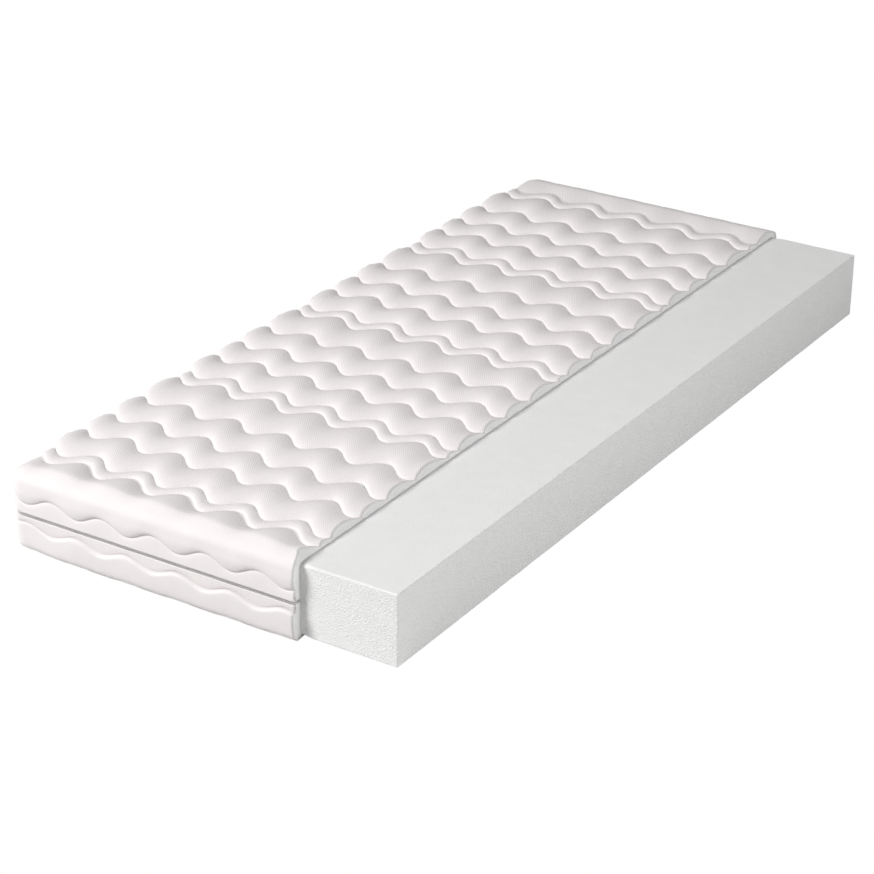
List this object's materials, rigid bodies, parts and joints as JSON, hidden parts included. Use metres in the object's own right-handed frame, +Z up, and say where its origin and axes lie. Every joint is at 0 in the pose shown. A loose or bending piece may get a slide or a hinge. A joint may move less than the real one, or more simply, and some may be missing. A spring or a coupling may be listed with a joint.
{
  "type": "foam mattress",
  "caption": "Foam mattress core in a quilted cover zipped round its middle and cut away along one long side; the core slides out sideways and the zip slider runs along the other side.",
  "frame": {"origin": "centre of the whole part's footprint, on the surface it lies on", "axes": "+X across the width towards the bare side of the core, +Y along the length from the near end to the far end, +Z up"},
  "size_m": [0.925, 2.051, 0.1785],
  "materials": {
    "foam": "matte",
    "ticking": "matte",
    "wadding": "matte",
    "backing": "matte",
    "zip_tape": "matte",
    "zip_coil": "satin",
    "thread": "satin",
    "slider_metal": "satin"
  },
  "bodies": {
    "cover": {"upper_ticking": "ticking", "upper_wadding": "wadding", "upper_backing": "backing", "lower_ticking": "ticking", "lower_wadding": "wadding", "lower_backing": "backing", "upper_zip_tape": "zip_tape", "lower_zip_tape": "zip_tape", "upper_zip_coil": "zip_coil", "lower_zip_coil": "zip_coil", "upper_hem_stitching": "thread", "lower_hem_stitching": "thread", "upper_quilting_thread": "thread", "lower_quilting_thread": "thread"},
    "core": {"foam_core": "foam"},
    "zip_slider": {"zip_slider_body": "slider_metal"},
    "zip_pull": {"zip_pull_tab": "slider_metal"}
  },
  "joints": [
    {"name": "core_slide", "type": "slide", "parent": "cover", "child": "core", "axis": [1, 0, 0], "range_m": [0, 0.69]},
    {"name": "zip_slide", "type": "slide", "parent": "cover", "child": "zip_slider", "axis": [0, -1, 0], "range_m": [0, 1.8]},
    {"name": "pull_hinge", "type": "hinge", "parent": "zip_slider", "child": "zip_pull", "pos_m": [-0.4571, 0.9, 0.0855], "axis": [0, 0, -1], "range_deg": [0, 180]}
  ]
}
